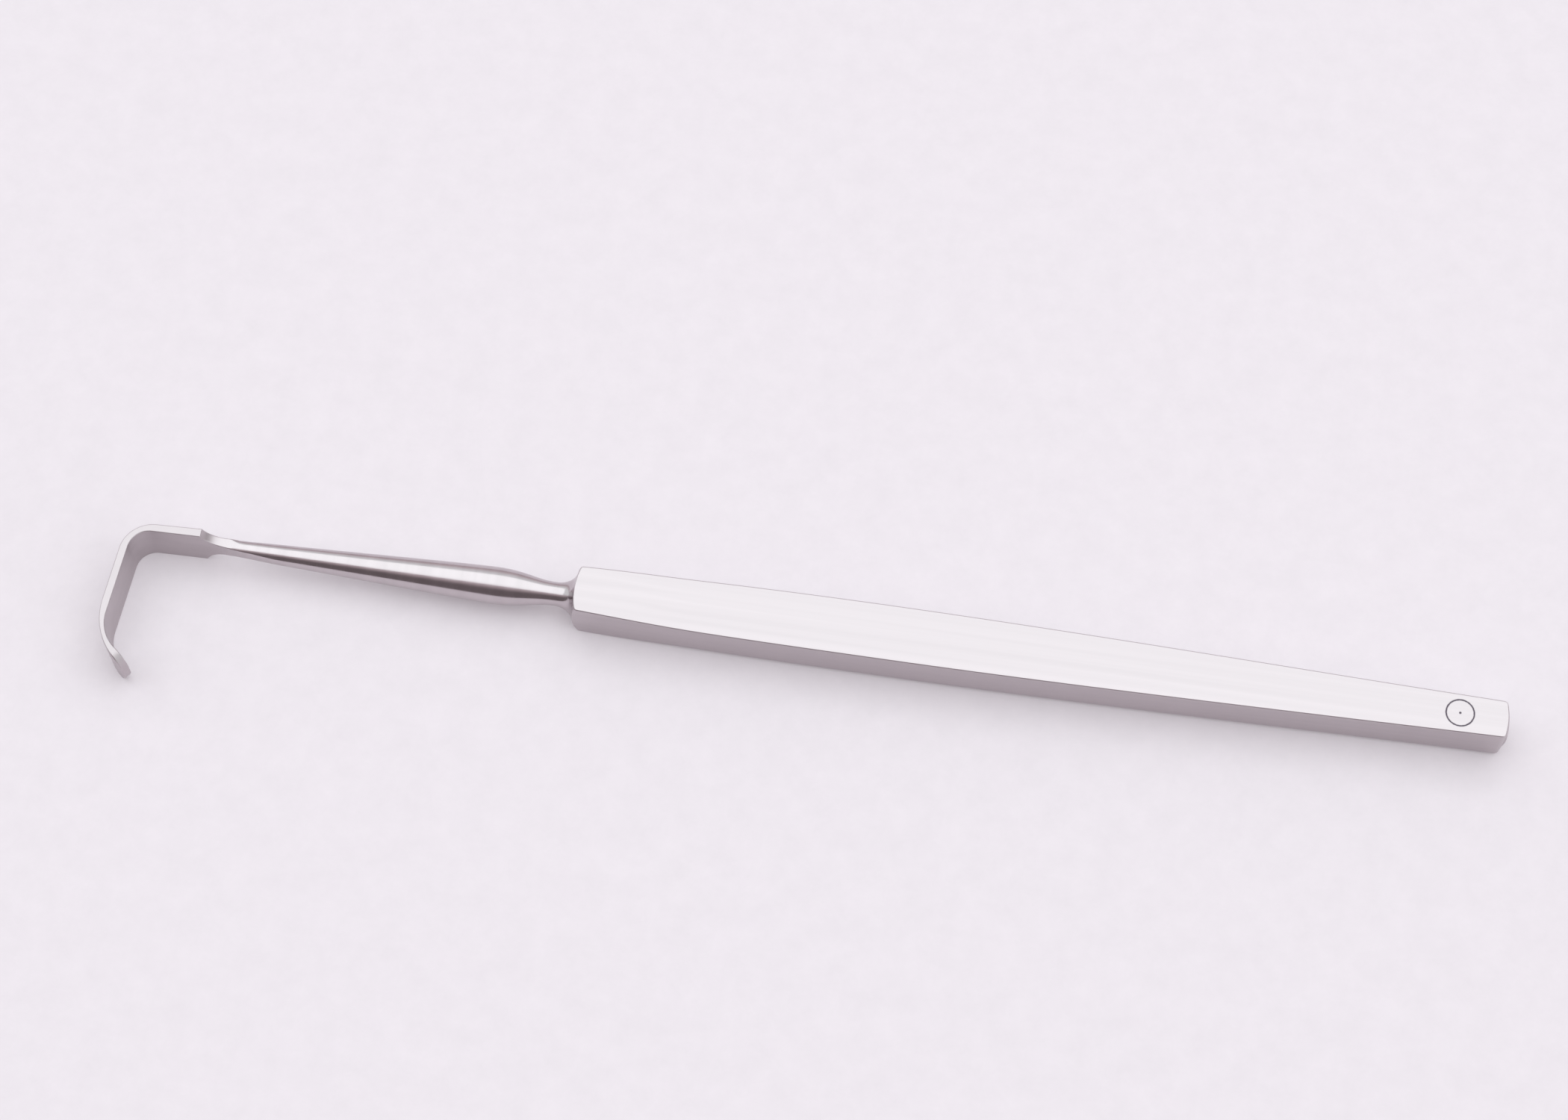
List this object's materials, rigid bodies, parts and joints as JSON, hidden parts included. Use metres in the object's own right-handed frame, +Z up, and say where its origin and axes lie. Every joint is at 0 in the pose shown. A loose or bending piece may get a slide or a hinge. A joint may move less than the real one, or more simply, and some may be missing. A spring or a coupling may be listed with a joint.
{
  "type": "handheld surgical retractor",
  "caption": "Slim one-piece hand retractor: flat bellied handle, tapering round stem and a flat strip bent square into a hook with a curled lip, for drawing tissue aside.",
  "frame": {"origin": "middle of the object's bounding box at its underside, on the table it lies on", "axes": "+X along the handle from the hook to the tail, +Y away from the side the hook turns to, +Z up, square to the broad side it lies on"},
  "size_m": [0.1604, 0.0208, 0.0061],
  "materials": {
    "steel": "satin, with fine lines along the handle and round the stem"
  },
  "bodies": {
    "root": {"retractor": "steel"}
  },
  "joints": []
}
